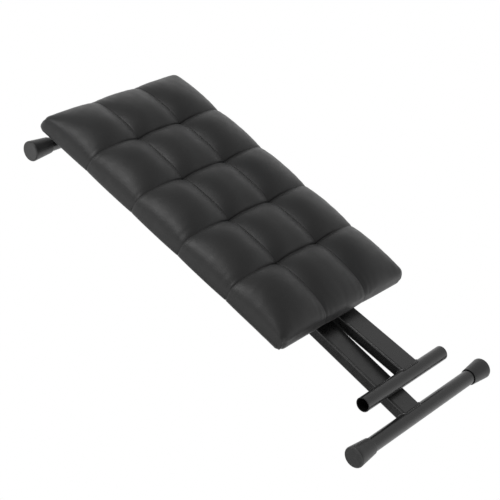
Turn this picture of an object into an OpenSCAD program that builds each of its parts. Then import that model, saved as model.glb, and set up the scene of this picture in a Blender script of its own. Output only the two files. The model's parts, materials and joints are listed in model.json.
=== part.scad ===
// Folding X bench: a tufted seat hinged on one leg, and two crossed legs that
// share a pivot bolt. It is drawn folded flat. The origin is on the floor,
// straight below the pivot, +X towards the crossbar end and +Z up.

/* [Seat] */
// Length of the seat
seat_l = 520; // [500:1:540]
// Width of the seat
seat_w = 287; // [280:1:300]
// Height of the cushion, from its lower edge to its crown
seat_h = 49; // [44:1:56]
// Height of the seat's lower edge above the floor, folded
seat_z = 52; // [52:0.5:56]
// Distance from the hinge axis to the seat's nearer end
seat_overhang = 56.5; // [50:0.5:60]
// Thickness of the seat board
board_t = 12; // [10:1:15]
// Rows of tufted squares along the seat
tuft_rows = 5; // [4:1:6]
// Rows of tufted squares across the seat
tuft_columns = 3; // [2:1:3]

/* [Legs] */
// Distance along X from the pivot to each foot bar
foot_x = 342; // [335:1:350]
// Distance along X from the pivot to the crossbar and to the hinge
cross_x = 295; // [290:1:300]
// Height of the crossbar's axis, and of the hinge's, folded
cross_z = 38.8; // [38.7:0.1:39]
// Width of a leg tube
leg_w = 38; // [36:1:39]
// Height of a leg tube
leg_h = 19; // [17:0.5:19]
// Gap between the two leg tubes at the pivot
leg_gap = 2.4; // [2.2:0.1:4]
// Wall of every steel tube
wall = 1.5; // [1.2:0.1:2]

/* [Feet and crossbar] */
// Outer diameter of the foot bars, the crossbar and the hinge tube
bar_d = 22.2; // [21:0.1:22.4]
// Length of a foot bar, over its rubber caps
foot_l = 322; // [300:1:330]
// Length of the crossbar and of the hinge tube
cross_l = 194; // [186:1:196]
// Largest diameter of a foot cap
cap_d = 32; // [30:0.5:32]
// Length of a foot cap
cap_l = 37; // [34:1:42]
// Radius of a foot cap's outer rim
rim_r = 3; // [2:0.5:4]
// Diameter of a foot cap where it meets the foot bar
cap_mouth_d = 25.8; // [25:0.1:28]

/* [Notches] */
// Number of seat heights
notch_count = 3; // [2:1:3]
// Distance between two notches
notch_pitch = 22; // [21:0.5:23]
// Distance from the pivot to the outermost notch, along X
notch_x = 145; // [143:1:147]

/* [Hardware] */
// Diameter of the pivot bolt
pivot_d = 10; // [8:0.5:10]
// Diameter of the hinge bolt
hinge_d = 8; // [8:1:9]
// Diameter of the bracket screws
screw_d = 6; // [5:0.5:6]

/* [Hidden] */
$fn = 64;

// Colours
leatherette = [0.17, 0.17, 0.18];
powder_black = [0.10, 0.10, 0.11];
rubber_black = [0.07, 0.07, 0.07];
zinc = [0.72, 0.73, 0.75];
nylon = [0.85, 0.84, 0.80];

// Geometry of the folded legs
foot_z = cap_d / 2;
leg_tilt = atan((cross_z - foot_z) / (foot_x + cross_x));
pivot_z = foot_z + foot_x * tan(leg_tilt);
foot_arm = foot_x / cos(leg_tilt);
cross_arm = cross_x / cos(leg_tilt);
leg_y = (leg_w + leg_gap) / 2;
leg_top = pivot_z + leg_h / 2 / cos(leg_tilt);

// Seat layers
seat_cx = -cross_x - seat_overhang + seat_l / 2;
cover_t = 1;
hem_w = 24;
lining_t = 0.6;
lining_inset = 9;
lining_z = seat_z - lining_t;
board_z = seat_z + cover_t;
board_inset = 7;
pad_side_h = 20;
crown_flat_h = 4;
crown_l = 0.72 * seat_l;
crown_w = 0.55 * seat_w;
crown_r = 22;
corner_r = 10;
side_pull = 5;
foam_gap = 0.4;
layer_gap = 0.2;

// Tufts
tuft_pitch_x = seat_l * 0.1925;
tuft_pitch_y = seat_w * 0.322;
tuft_depth = 26;
twine_d = 2;
anchor_d = 12;
anchor_t = 0.6;

// Brackets
plate_t = 3;
flange_t = 2.5;
flange_z = lining_z - flange_t;
hinge_plate_y = cross_l / 2 + 1.3;
hinge_plate_r = 12.5;
hinge_shoulder = [1.3 * hinge_plate_r, cross_z + 2];
hinge_cheek = [0.85 * hinge_plate_r, cross_z - 6];
hinge_flange_l = 64;
hinge_flange_w = 26;
notch_plate_y = 78;
notch_flange_w = 33;
notch_r = bar_d / 2 + 0.4;
notch_roof_z = lining_z - 2.4;
tooth_z = notch_roof_z - 3.5;
last_notch_x = notch_x - (notch_count - 1) * notch_pitch;
rack_start = last_notch_x - notch_r - 20;
rack_end = notch_x + 18;
rack_tip = 4;
hook_x = last_notch_x - bar_d / 2 - 0.6;
hook_z = 30;
hook_bevel = [5, 8];

// Fasteners
screw_l = 14;
screw_head_d = 10;
screw_head_t = 3;
tee_flange_d = 17;
tee_flange_t = 1.6;
tee_barrel_d = 7.6;
hole_play = 0.4;
bumper_d = 24;
bumper_gap = 0.8;
bumper_h = lining_z - leg_top - bumper_gap;
bumper_taper = 4;
bumper_floor = 4;
bumper_head_t = 2.6;
bumper_screw_d = 4;
bumper_screw_l = 12;
bumper_recess_d = 2.4 * bumper_screw_d;
washer_t = 1.6;
hinge_washer_d = 16;
hinge_hex = 13;
hinge_head_t = 5.5;
hinge_nut_t = 8;
hinge_face = hinge_plate_y + plate_t;
bush_l = 20;
bush_flange_t = 1;
bush_run = 0.1;
pivot_hex = 16;
pivot_head_t = 6.4;
pivot_nut_t = 9;
pivot_washer_d = 20;
pivot_spacer_d = 24;
pivot_face = leg_gap / 2 + leg_w;
thread_end = 4;
sleeve_wall = 2;
leg_corner_r = 3;
cut_past = 10;
pivot_bore = pivot_d + 2 * bush_run;
bush_d = pivot_bore + sleeve_wall;
sleeve_d = pivot_bore + 2 * sleeve_wall;
spacer_play = 0.3;
foot_end_t = 6;
foot_bar_l = foot_l - 2 * foot_end_t;

hinge_screw_dx = [-22, 0, 22];
rack_screw_inset = 9;
rack_screw_x = [
    rack_start + rack_screw_inset,
    (rack_start + rack_end) / 2,
    rack_end - rack_screw_inset
];
hinge_screw_y = hinge_plate_y + plate_t + 13;
rack_screw_y = notch_plate_y + plate_t + 23;

function tuft_x(i) = seat_cx + (i - (tuft_rows - 2) / 2) * tuft_pitch_x;
function tuft_y(j) = (j - (tuft_columns - 2) / 2) * tuft_pitch_y;
function notch_at(i) = notch_x - i * notch_pitch;

// A cylinder along Y, centred on y
module rod_y(x, y, z, d, l) {
    translate([x, y, z])
        rotate([90, 0, 0])
            cylinder(h = l, d = d, center = true);
}

// A straight tube along Y
module tube_y(x, y, z, d, bore, l) {
    difference() {
        rod_y(x, y, z, d, l);
        rod_y(x, y, z, bore, l + 2);
    }
}

// A hexagon along Y, for bolt heads and nuts
module hex_y(x, y, z, across, l) {
    translate([x, y, z])
        rotate([90, 0, 0])
            cylinder(h = l, d = across / cos(30), center = true, $fn = 6);
}

// Places its child at every tuft
module at_tufts() {
    for (i = [0 : tuft_rows - 2])
        for (j = [0 : tuft_columns - 2])
            translate([tuft_x(i), tuft_y(j), 0])
                children();
}

// Places its child at every bracket screw
module at_bracket_screws() {
    for (side = [-1, 1]) {
        for (dx = hinge_screw_dx)
            translate([-cross_x + dx, side * hinge_screw_y, 0])
                children();
        for (x = rack_screw_x)
            translate([x, side * rack_screw_y, 0])
                children();
    }
}

// Places its child above each leg, where a bumper sits
module at_bumpers() {
    for (side = [-1, 1])
        translate([0, side * leg_y, 0])
            children();
}

// A rounded rectangle, drawn exactly
module rounded_rect(l, w, r) {
    square([l - 2 * r, w], center = true);
    square([l, w - 2 * r], center = true);
    for (sx = [-1, 1])
        for (sy = [-1, 1])
            translate([sx * (l / 2 - r), sy * (w / 2 - r)])
                circle(r = r);
}

// The cushion's crowned outside, shrunk by t
module crowned_pad(t) {
    translate([seat_cx, 0, 0])
        hull() {
            translate([0, 0, seat_z + t])
                linear_extrude(height = pad_side_h)
                    rounded_rect(seat_l - 2 * t, seat_w - 2 * t, corner_r - t);
            for (sx = [-1, 1])
                for (sy = [-1, 1])
                    translate([
                        sx * (seat_l / 2 - crown_r - side_pull),
                        sy * (seat_w / 2 - crown_r - side_pull),
                        seat_z + seat_h - crown_r - crown_flat_h
                    ])
                        sphere(r = crown_r - t, $fn = 32);
            translate([0, 0, seat_z + seat_h - crown_flat_h - t])
                linear_extrude(height = crown_flat_h)
                    rounded_rect(crown_l, crown_w, crown_r);
        }
}

module seat_cover() {
    color(leatherette)
        difference() {
            crowned_pad(0);
            crowned_pad(cover_t);
            translate([seat_cx, 0, seat_z - 1])
                linear_extrude(height = cover_t + 2)
                    rounded_rect(seat_l - 2 * hem_w, seat_w - 2 * hem_w, corner_r);
            at_bracket_screws()
                translate([0, 0, seat_z - 1])
                    cylinder(h = cover_t + 2, d = tee_barrel_d);
        }
}

module seat_foam() {
    color("khaki")
        difference() {
            crowned_pad(cover_t + foam_gap);
            translate([seat_cx, 0, 0])
                linear_extrude(height = board_z + board_t + layer_gap)
                    square([seat_l + 2, seat_w + 2], center = true);
            at_tufts()
                cylinder(h = seat_z + seat_h + 5, d = twine_d + 2);
        }
}

module seat_board() {
    color("burlywood")
        difference() {
            translate([seat_cx, 0, board_z])
                linear_extrude(height = board_t)
                    rounded_rect(seat_l - 2 * board_inset, seat_w - 2 * board_inset, corner_r);
            at_tufts()
                translate([0, 0, board_z - 1])
                    cylinder(h = board_t + 2, d = twine_d + hole_play);
            at_bracket_screws()
                translate([0, 0, board_z - 1])
                    cylinder(h = board_t + 2, d = tee_barrel_d);
            at_bracket_screws()
                translate([0, 0, board_z + board_t - tee_flange_t])
                    cylinder(h = tee_flange_t + 1, d = tee_flange_d + hole_play);
            at_bumpers()
                translate([0, 0, board_z - 1])
                    cylinder(h = bumper_screw_l - 1, d = bumper_screw_d);
        }
}

module bottom_lining() {
    color([0.14, 0.14, 0.14])
        difference() {
            translate([seat_cx, 0, lining_z])
                linear_extrude(height = lining_t)
                    rounded_rect(seat_l - 2 * lining_inset, seat_w - 2 * lining_inset, corner_r);
            at_bracket_screws()
                translate([0, 0, lining_z - 1])
                    cylinder(h = lining_t + 2, d = screw_d + hole_play);
            at_bumpers()
                translate([0, 0, lining_z - 1])
                    cylinder(h = lining_t + 2, d = bumper_screw_d + hole_play);
        }
}

module tuft_twines() {
    color("ivory")
        at_tufts()
            translate([0, 0, board_z])
                cylinder(h = seat_h - tuft_depth - 2 * cover_t, d = twine_d, $fn = 24);
}

module tuft_anchors() {
    color(nylon)
        at_tufts()
            translate([0, 0, board_z - anchor_t - layer_gap])
                cylinder(h = anchor_t, d = anchor_d, $fn = 32);
}

// Hinge bracket: a plate that tapers down round the hinge bolt, bent outwards
// into a flange under the seat. side is -1 for the front and 1 for the rear.
module hinge_bracket(side) {
    y_inner = side * hinge_plate_y;
    y_mid = side * (hinge_plate_y + plate_t / 2);
    color(powder_black)
        difference() {
            union() {
                translate([-cross_x, y_mid + plate_t / 2, 0])
                    rotate([90, 0, 0])
                        linear_extrude(height = plate_t)
                            polygon([
                                [-hinge_flange_l / 2, lining_z],
                                [-hinge_shoulder.x, hinge_shoulder.y],
                                [-hinge_cheek.x, hinge_cheek.y],
                                hinge_cheek,
                                hinge_shoulder,
                                [hinge_flange_l / 2, lining_z]
                            ]);
                rod_y(-cross_x, y_mid, cross_z, 2 * hinge_plate_r, plate_t);
                translate([
                    -cross_x - hinge_flange_l / 2,
                    min(y_inner, y_inner + side * hinge_flange_w),
                    flange_z
                ])
                    cube([hinge_flange_l, hinge_flange_w, flange_t]);
            }
            rod_y(-cross_x, y_mid, cross_z, hinge_d + hole_play, plate_t + 4);
            for (dx = hinge_screw_dx)
                translate([-cross_x + dx, side * hinge_screw_y, flange_z - 1])
                    cylinder(h = flange_t + 2, d = screw_d + hole_play);
        }
}

module hinge_bracket_front() {
    hinge_bracket(-1);
}

module hinge_bracket_rear() {
    hinge_bracket(1);
}

// Notch bracket: a rack plate whose teeth hold the crossbar, with a hook that
// stops the crossbar past the innermost notch, bent outwards into a flange.
module notch_bracket(side) {
    y_inner = side * notch_plate_y;
    y_mid = side * (notch_plate_y + plate_t / 2);
    color(powder_black)
        difference() {
            union() {
                translate([0, y_mid + plate_t / 2, 0])
                    rotate([90, 0, 0])
                        linear_extrude(height = plate_t)
                            polygon([
                                [rack_start, lining_z],
                                [rack_start, hook_z + hook_bevel.y],
                                [rack_start + hook_bevel.x, hook_z],
                                [hook_x, hook_z],
                                [hook_x, tooth_z],
                                [rack_end - rack_tip, tooth_z],
                                [rack_end, tooth_z + rack_tip],
                                [rack_end, lining_z]
                            ]);
                translate([
                    rack_start,
                    min(y_inner, y_inner + side * notch_flange_w),
                    flange_z
                ])
                    cube([rack_end - rack_start, notch_flange_w, flange_t]);
            }
            for (i = [0 : notch_count - 1])
                rod_y(notch_at(i), y_mid, notch_roof_z - notch_r, 2 * notch_r, plate_t + 4);
            for (x = rack_screw_x)
                translate([x, side * rack_screw_y, flange_z - 1])
                    cylinder(h = flange_t + 2, d = screw_d + hole_play);
        }
}

module notch_bracket_front() {
    notch_bracket(-1);
}

module notch_bracket_rear() {
    notch_bracket(1);
}

module bracket_screws() {
    color(zinc)
        at_bracket_screws() {
            translate([0, 0, flange_z - screw_head_t])
                cylinder(h = screw_head_t, d = screw_head_d, $fn = 32);
            translate([0, 0, flange_z - screw_head_t])
                cylinder(h = screw_head_t + screw_l, d = screw_d - hole_play, $fn = 32);
        }
}

module tee_nuts() {
    color(zinc)
        at_bracket_screws()
            difference() {
                union() {
                    translate([0, 0, board_z + board_t - tee_flange_t])
                        cylinder(h = tee_flange_t, d = tee_flange_d, $fn = 32);
                    translate([0, 0, board_z + 2])
                        cylinder(h = board_t - 2, d = tee_barrel_d, $fn = 32);
                }
                translate([0, 0, board_z])
                    cylinder(h = board_t + 2, d = screw_d, $fn = 32);
            }
}

module seat_bumpers() {
    color(rubber_black)
        at_bumpers()
            translate([0, 0, lining_z - bumper_h])
                difference() {
                    cylinder(h = bumper_h, d1 = bumper_d - bumper_taper, d2 = bumper_d);
                    translate([0, 0, -1])
                        cylinder(h = bumper_h - bumper_floor + 1, d = bumper_recess_d);
                    cylinder(h = bumper_h + 1, d = bumper_screw_d + hole_play);
                }
}

module bumper_screws() {
    color(zinc)
        at_bumpers()
            translate([0, 0, lining_z - bumper_floor - bumper_head_t]) {
                cylinder(h = bumper_head_t, d = 2 * bumper_screw_d, $fn = 32);
                cylinder(
                    h = bumper_head_t + bumper_screw_l,
                    d = bumper_screw_d - hole_play,
                    $fn = 32
                );
            }
}

// Hinge fasteners, along the hinge axis
module hinge_bolt() {
    shank = 2 * hinge_face + 2 * washer_t + hinge_nut_t + thread_end;
    head_y = -hinge_face - washer_t;
    color(zinc) {
        hex_y(-cross_x, head_y - hinge_head_t / 2, cross_z, hinge_hex, hinge_head_t);
        rod_y(-cross_x, head_y + shank / 2, cross_z, hinge_d, shank);
    }
}

module hinge_nut() {
    color(zinc)
        difference() {
            hex_y(
                -cross_x, hinge_face + washer_t + hinge_nut_t / 2, cross_z,
                hinge_hex, hinge_nut_t
            );
            rod_y(-cross_x, hinge_face, cross_z, hinge_d, 4 * hinge_nut_t);
        }
}

module hinge_washers() {
    color(zinc)
        for (side = [-1, 1])
            tube_y(
                -cross_x, side * (hinge_face + washer_t / 2), cross_z,
                hinge_washer_d, hinge_d + hole_play, washer_t
            );
}

// A rectangular leg tube between the bars at its two ends, tilted as folded.
// dir is 1 where the foot is at +X and -1 where it is at -X.
module leg_tube(dir, y) {
    mid = (foot_x - cross_x) / 2;
    difference() {
        translate([0, y, pivot_z])
            rotate([0, dir * leg_tilt, 0])
                difference() {
                    translate([dir * mid, 0, 0])
                        rotate([90, 0, 90])
                            linear_extrude(height = foot_arm + cross_arm, center = true)
                                rounded_rect(leg_w, leg_h, leg_corner_r);
                    translate([dir * mid, 0, 0])
                        rotate([90, 0, 90])
                            linear_extrude(height = foot_arm + cross_arm + 2, center = true)
                                rounded_rect(
                                    leg_w - 2 * wall, leg_h - 2 * wall, leg_corner_r - wall
                                );
                }
        rod_y(dir * foot_x, y, foot_z, bar_d, leg_w + cut_past);
        rod_y(-dir * cross_x, y, cross_z, bar_d, leg_w + cut_past);
        rod_y(0, y, pivot_z, sleeve_d, leg_w + cut_past);
    }
}

module leg_a_tube() {
    color(powder_black)
        leg_tube(1, -leg_y);
}

module leg_b_tube() {
    color(powder_black)
        leg_tube(-1, leg_y);
}

module foot_bar_a() {
    color(powder_black)
        tube_y(foot_x, 0, foot_z, bar_d, bar_d - 2 * wall, foot_bar_l);
}

module foot_bar_b() {
    color(powder_black)
        tube_y(-foot_x, 0, foot_z, bar_d, bar_d - 2 * wall, foot_bar_l);
}

// Tapered rubber cap with a rounded outer rim. side is -1 at the front.
module foot_cap(x, side) {
    translate([x, side * foot_l / 2, foot_z])
        rotate([side * 90, 0, 0])
            color(rubber_black)
                rotate_extrude()
                    difference() {
                        union() {
                            polygon([
                                [0, 0],
                                [cap_d / 2 - rim_r, 0],
                                [cap_d / 2, rim_r],
                                [cap_mouth_d / 2, cap_l],
                                [0, cap_l]
                            ]);
                            intersection() {
                                translate([cap_d / 2 - rim_r, rim_r])
                                    circle(r = rim_r);
                                square([cap_d, cap_l]);
                            }
                        }
                        translate([0, foot_end_t])
                            square([bar_d / 2, cap_l]);
                    }
}

module foot_cap_a_front() {
    foot_cap(foot_x, -1);
}

module foot_cap_a_rear() {
    foot_cap(foot_x, 1);
}

module foot_cap_b_front() {
    foot_cap(-foot_x, -1);
}

module foot_cap_b_rear() {
    foot_cap(-foot_x, 1);
}

module crossbar() {
    color(powder_black)
        tube_y(cross_x, 0, cross_z, bar_d, bar_d - 2 * wall, cross_l);
}

module hinge_tube() {
    color(powder_black)
        tube_y(-cross_x, 0, cross_z, bar_d, bar_d - 2 * wall, cross_l);
}

// Flanged bush in one end of the hinge tube
module hinge_bush(side) {
    color(nylon)
        difference() {
            union() {
                rod_y(
                    -cross_x, side * (cross_l / 2 + bush_flange_t / 2), cross_z,
                    bar_d - 1, bush_flange_t
                );
                rod_y(
                    -cross_x, side * (cross_l / 2 + bush_flange_t - bush_l / 2), cross_z,
                    bar_d - 2 * wall, bush_l
                );
            }
            rod_y(-cross_x, side * cross_l / 2, cross_z, hinge_d + 2 * bush_run, 3 * bush_l);
        }
}

module hinge_bush_front() {
    hinge_bush(-1);
}

module hinge_bush_rear() {
    hinge_bush(1);
}

// Pivot stack, from the bolt head at the front to the nut at the rear
module pivot_sleeve_a() {
    color(zinc)
        tube_y(0, -leg_y, pivot_z, sleeve_d, pivot_bore, leg_w);
}

module pivot_sleeve_b() {
    color(zinc)
        tube_y(0, leg_y, pivot_z, sleeve_d, bush_d, leg_w);
}

module pivot_bush_b() {
    color(nylon)
        tube_y(0, leg_y, pivot_z, bush_d, pivot_bore, leg_w);
}

module pivot_bolt() {
    shank = 2 * pivot_face + 2 * washer_t + spacer_play + pivot_nut_t + thread_end;
    head_y = -pivot_face - washer_t;
    color(zinc) {
        hex_y(0, head_y - pivot_head_t / 2, pivot_z, pivot_hex, pivot_head_t);
        rod_y(0, head_y + shank / 2, pivot_z, pivot_d, shank);
    }
}

module pivot_nut() {
    color(zinc)
        difference() {
            hex_y(
                0, pivot_face + spacer_play + washer_t + pivot_nut_t / 2, pivot_z,
                pivot_hex, pivot_nut_t
            );
            rod_y(0, pivot_face, pivot_z, pivot_d, 5 * pivot_nut_t);
        }
}

module pivot_washers() {
    bore = pivot_d + hole_play;
    front_y = -pivot_face - washer_t / 2;
    rear_y = pivot_face + spacer_play + washer_t / 2;
    color(zinc) {
        tube_y(0, front_y, pivot_z, pivot_washer_d, bore, washer_t);
        tube_y(0, rear_y, pivot_z, pivot_washer_d, bore, washer_t);
    }
}

module pivot_spacer() {
    color(nylon)
        tube_y(
            0, -spacer_play / 2, pivot_z,
            pivot_spacer_d, pivot_d + hole_play, leg_gap - spacer_play
        );
}

seat_cover();
seat_foam();
seat_board();
bottom_lining();
tuft_twines();
tuft_anchors();
hinge_bracket_front();
hinge_bracket_rear();
notch_bracket_front();
notch_bracket_rear();
bracket_screws();
tee_nuts();
seat_bumpers();
bumper_screws();
hinge_bolt();
hinge_nut();
hinge_washers();
leg_a_tube();
foot_bar_a();
foot_cap_a_front();
foot_cap_a_rear();
hinge_tube();
hinge_bush_front();
hinge_bush_rear();
pivot_sleeve_a();
pivot_bolt();
pivot_nut();
pivot_washers();
pivot_spacer();
leg_b_tube();
foot_bar_b();
foot_cap_b_front();
foot_cap_b_rear();
crossbar();
pivot_sleeve_b();
pivot_bush_b();
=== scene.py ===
"""The look of a folding piano bench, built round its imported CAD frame."""
import json
import math

import bmesh
import bpy
import numpy as np
from mathutils import Matrix, Vector


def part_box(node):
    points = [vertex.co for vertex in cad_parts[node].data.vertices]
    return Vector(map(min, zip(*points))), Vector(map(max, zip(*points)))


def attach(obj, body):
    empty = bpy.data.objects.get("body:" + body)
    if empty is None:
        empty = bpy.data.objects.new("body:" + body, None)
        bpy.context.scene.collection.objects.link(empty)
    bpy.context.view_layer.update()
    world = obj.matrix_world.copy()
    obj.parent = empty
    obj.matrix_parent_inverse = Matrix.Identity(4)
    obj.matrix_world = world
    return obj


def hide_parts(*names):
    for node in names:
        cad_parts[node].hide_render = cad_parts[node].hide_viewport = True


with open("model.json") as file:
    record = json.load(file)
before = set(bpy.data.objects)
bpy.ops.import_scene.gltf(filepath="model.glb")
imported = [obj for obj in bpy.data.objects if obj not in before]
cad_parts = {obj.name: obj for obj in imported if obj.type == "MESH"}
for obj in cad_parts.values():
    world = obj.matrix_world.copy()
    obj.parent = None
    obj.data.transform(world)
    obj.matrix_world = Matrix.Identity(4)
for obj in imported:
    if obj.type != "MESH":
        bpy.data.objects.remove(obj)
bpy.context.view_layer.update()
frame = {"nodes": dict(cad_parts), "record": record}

MM = 0.001


# ---------------------------------------------------------------- helpers

def add_mesh(name, points, faces, material, smooth=True):
    """A new mesh object in the row frame."""
    mesh = bpy.data.meshes.new(name)
    mesh.from_pydata([tuple(p) for p in points], [], [tuple(f) for f in faces])
    mesh.update()
    mesh.polygons.foreach_set("use_smooth", [smooth] * len(mesh.polygons))
    piece = bpy.data.objects.new(name, mesh)
    bpy.context.scene.collection.objects.link(piece)
    piece.data.materials.append(material)
    return piece


def paint(node, material):
    """Gives a CAD node its finished material."""
    piece = frame["nodes"][node]
    piece.data.materials.clear()
    piece.data.materials.append(material)


def apply_modifiers(piece):
    """Replaces the piece's mesh with what its modifiers make of it."""
    graph = bpy.context.evaluated_depsgraph_get()
    mesh = bpy.data.meshes.new_from_object(piece.evaluated_get(graph))
    piece.modifiers.clear()
    old = piece.data
    piece.data = mesh
    bpy.data.meshes.remove(old)


def gather(shapes):
    """Several shapes as the points and faces of one mesh."""
    points, faces = [], []
    for new_points, new_faces in shapes:
        faces += [tuple(len(points) + k for k in face) for face in new_faces]
        points += new_points
    return points, faces


def centre_of(node):
    low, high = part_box(node)
    return (low + high) / 2


# -------------------------------------------------------------- materials

class Shader:
    """A material's node tree, with short ways to add nodes to it."""

    def __init__(self, name):
        self.material = bpy.data.materials.new(name)
        self.material.use_nodes = True
        self.tree = self.material.node_tree
        self.surface = self.tree.nodes["Principled BSDF"]
        self.place = self.add("ShaderNodeTexCoord").outputs["Object"]

    def add(self, kind, **settings):
        made = self.tree.nodes.new(kind)
        for key, value in settings.items():
            if hasattr(made, key):
                setattr(made, key, value)
            else:
                made.inputs[key.replace("_", " ")].default_value = value
        return made

    def link(self, source, target):
        self.tree.links.new(source, target)

    def set(self, **values):
        """Constant values, directly on the shader's own sockets."""
        for key, value in values.items():
            self.surface.inputs[key.replace("_", " ")].default_value = value

    def stretched(self, scale, turn=(0, 0, 0)):
        mapping = self.add("ShaderNodeMapping")
        mapping.inputs["Scale"].default_value = scale
        mapping.inputs["Rotation"].default_value = turn
        self.link(self.place, mapping.inputs["Vector"])
        return mapping.outputs["Vector"]

    def noise(self, scale, detail=3.0, rough=0.5, place=None):
        made = self.add("ShaderNodeTexNoise", Scale=scale, Detail=detail, Roughness=rough)
        self.link(place or self.place, made.inputs["Vector"])
        return made.outputs["Fac"]

    def cells(self, scale, feature="DISTANCE_TO_EDGE", place=None):
        made = self.add("ShaderNodeTexVoronoi", feature=feature, Scale=scale)
        self.link(place or self.place, made.inputs["Vector"])
        return made.outputs["Distance"]

    def remap(self, source, low, high, to_low=0.0, to_high=1.0):
        made = self.add("ShaderNodeMapRange", clamp=True)
        for key, value in (("From Min", low), ("From Max", high),
                           ("To Min", to_low), ("To Max", to_high)):
            made.inputs[key].default_value = value
        self.link(source, made.inputs["Value"])
        return made.outputs["Result"]

    def maths(self, operation, a, b):
        made = self.add("ShaderNodeMath", operation=operation)
        for slot, value in enumerate((a, b)):
            if isinstance(value, (int, float)):
                made.inputs[slot].default_value = value
            else:
                self.link(value, made.inputs[slot])
        return made.outputs[0]

    def colours(self, source, stops):
        """A colour ramp from source to the Base Color socket."""
        ramp = self.add("ShaderNodeValToRGB")
        band = ramp.color_ramp
        while len(band.elements) < len(stops):
            band.elements.new(0.5)
        for element, (position, colour) in zip(band.elements, stops):
            element.position = position
            element.color = (*colour, 1.0)
        self.link(source, ramp.inputs["Fac"])
        self.link(ramp.outputs["Color"], self.surface.inputs["Base Color"])

    def roughness(self, source, low, high):
        self.link(self.remap(source, 0.3, 0.7, low, high), self.surface.inputs["Roughness"])

    def bumps(self, *layers):
        """Bump layers, each a height, its strength and its depth in metres."""
        previous = None
        for height, strength, depth in layers:
            bump = self.add("ShaderNodeBump", Strength=strength, Distance=depth)
            self.link(height, bump.inputs["Height"])
            if previous is not None:
                self.link(previous, bump.inputs["Normal"])
            previous = bump.outputs["Normal"]
        self.link(previous, self.surface.inputs["Normal"])


def grey(value, warmth=0.0):
    return (value * (1 + warmth), value, value * (1 - warmth))


def leatherette_material():
    m = Shader("leatherette")
    drift = m.noise(9, 4, 0.55)
    pebble = m.cells(820)
    pores = m.noise(2600, 2)
    creases = m.noise(70, 5, 0.6)
    m.colours(drift, [(0.3, grey(0.017, -0.02)), (0.7, grey(0.021, 0.01))])
    m.roughness(m.noise(55, 3), 0.40, 0.50)
    m.set(Specular_IOR_Level=0.5, Sheen_Weight=0.08, Sheen_Roughness=0.4)
    m.bumps(
        (creases, 0.10, 0.0012),
        (m.remap(pebble, 0.0, 0.22), 0.28, 0.00012),
        (pores, 0.10, 0.00005),
    )
    return m.material


def powder_coat_material():
    m = Shader("powder_coat")
    orange_peel = m.noise(900, 2, 0.4)
    broad = m.noise(40, 3)
    m.colours(broad, [(0.3, grey(0.007)), (0.7, grey(0.010))])
    m.roughness(m.noise(120, 4), 0.25, 0.32)
    m.set(Specular_IOR_Level=1.0)
    m.bumps((orange_peel, 0.02, 0.00008), (broad, 0.02, 0.0006))
    return m.material


def rubber_material():
    m = Shader("rubber")
    m.colours(m.noise(60, 4), [(0.3, grey(0.028)), (0.7, grey(0.036))])
    m.roughness(m.noise(200, 3), 0.34, 0.46)
    m.set(Specular_IOR_Level=0.62)
    m.bumps((m.noise(1500, 3), 0.12, 0.0001))
    return m.material


def zinc_material():
    m = Shader("zinc")
    turned = m.noise(500, 3, 0.5, m.stretched((1, 6, 1)))
    m.colours(m.noise(150, 4), [(0.3, (0.55, 0.57, 0.62)), (0.7, (0.66, 0.66, 0.64))])
    m.roughness(turned, 0.26, 0.40)
    m.set(Metallic=1.0)
    m.bumps((turned, 0.06, 0.00006))
    return m.material


def nylon_material():
    m = Shader("nylon")
    m.colours(m.noise(90, 3), [(0.3, (0.66, 0.65, 0.60)), (0.7, (0.74, 0.73, 0.69))])
    m.roughness(m.noise(220, 2), 0.38, 0.48)
    m.bumps((m.noise(700, 2), 0.06, 0.0001))
    return m.material


def plywood_material():
    m = Shader("plywood")
    grain = m.noise(16, 8, 0.6, m.stretched((1, 14, 60)))
    m.colours(grain, [(0.3, (0.38, 0.25, 0.13)), (0.7, (0.62, 0.46, 0.28))])
    m.roughness(grain, 0.6, 0.75)
    m.bumps((grain, 0.2, 0.0003))
    return m.material


def lining_material():
    m = Shader("lining")
    fibres_x = m.noise(420, 4, 0.6, m.stretched((1, 0.12, 1)))
    fibres_y = m.noise(420, 4, 0.6, m.stretched((0.12, 1, 1), (0, 0, 0.6)))
    fibres = m.maths("MAXIMUM", fibres_x, fibres_y)
    bonds = m.remap(m.cells(520, "F1"), 0.25, 0.4)
    m.colours(fibres, [(0.4, grey(0.016)), (0.75, grey(0.045))])
    m.roughness(fibres, 0.75, 0.9)
    m.bumps((fibres, 0.3, 0.0002), (bonds, 0.25, 0.00015))
    return m.material


def foam_material():
    m = Shader("foam")
    pores = m.cells(900, "F1")
    m.colours(pores, [(0.1, (0.55, 0.48, 0.27)), (0.6, (0.80, 0.74, 0.50))])
    m.roughness(pores, 0.85, 0.95)
    m.bumps((pores, 0.5, 0.0006))
    return m.material


def twine_material():
    m = Shader("twine")
    strands = m.noise(900, 2, 0.5, m.stretched((1, 1, 0.3)))
    m.colours(strands, [(0.3, (0.52, 0.48, 0.38)), (0.7, (0.74, 0.70, 0.60))])
    m.roughness(strands, 0.6, 0.8)
    m.bumps((strands, 0.4, 0.0003))
    return m.material


LEATHERETTE = leatherette_material()
POWDER_COAT = powder_coat_material()
RUBBER = rubber_material()
ZINC = zinc_material()
NYLON = nylon_material()
PLYWOOD = plywood_material()
LINING = lining_material()
FOAM = foam_material()
TWINE = twine_material()

FINISHES = {
    "leatherette": LEATHERETTE,
    "powder_coat": POWDER_COAT,
    "rubber": RUBBER,
    "zinc": ZINC,
    "nylon": NYLON,
    "plywood": PLYWOOD,
    "lining": LINING,
    "foam": FOAM,
    "twine": TWINE,
}
for part in frame["record"]["subparts"]:
    paint(part["node"], FINISHES[part["material_slot"]])


# ---------------------------------------------------------------- cushion

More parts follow.
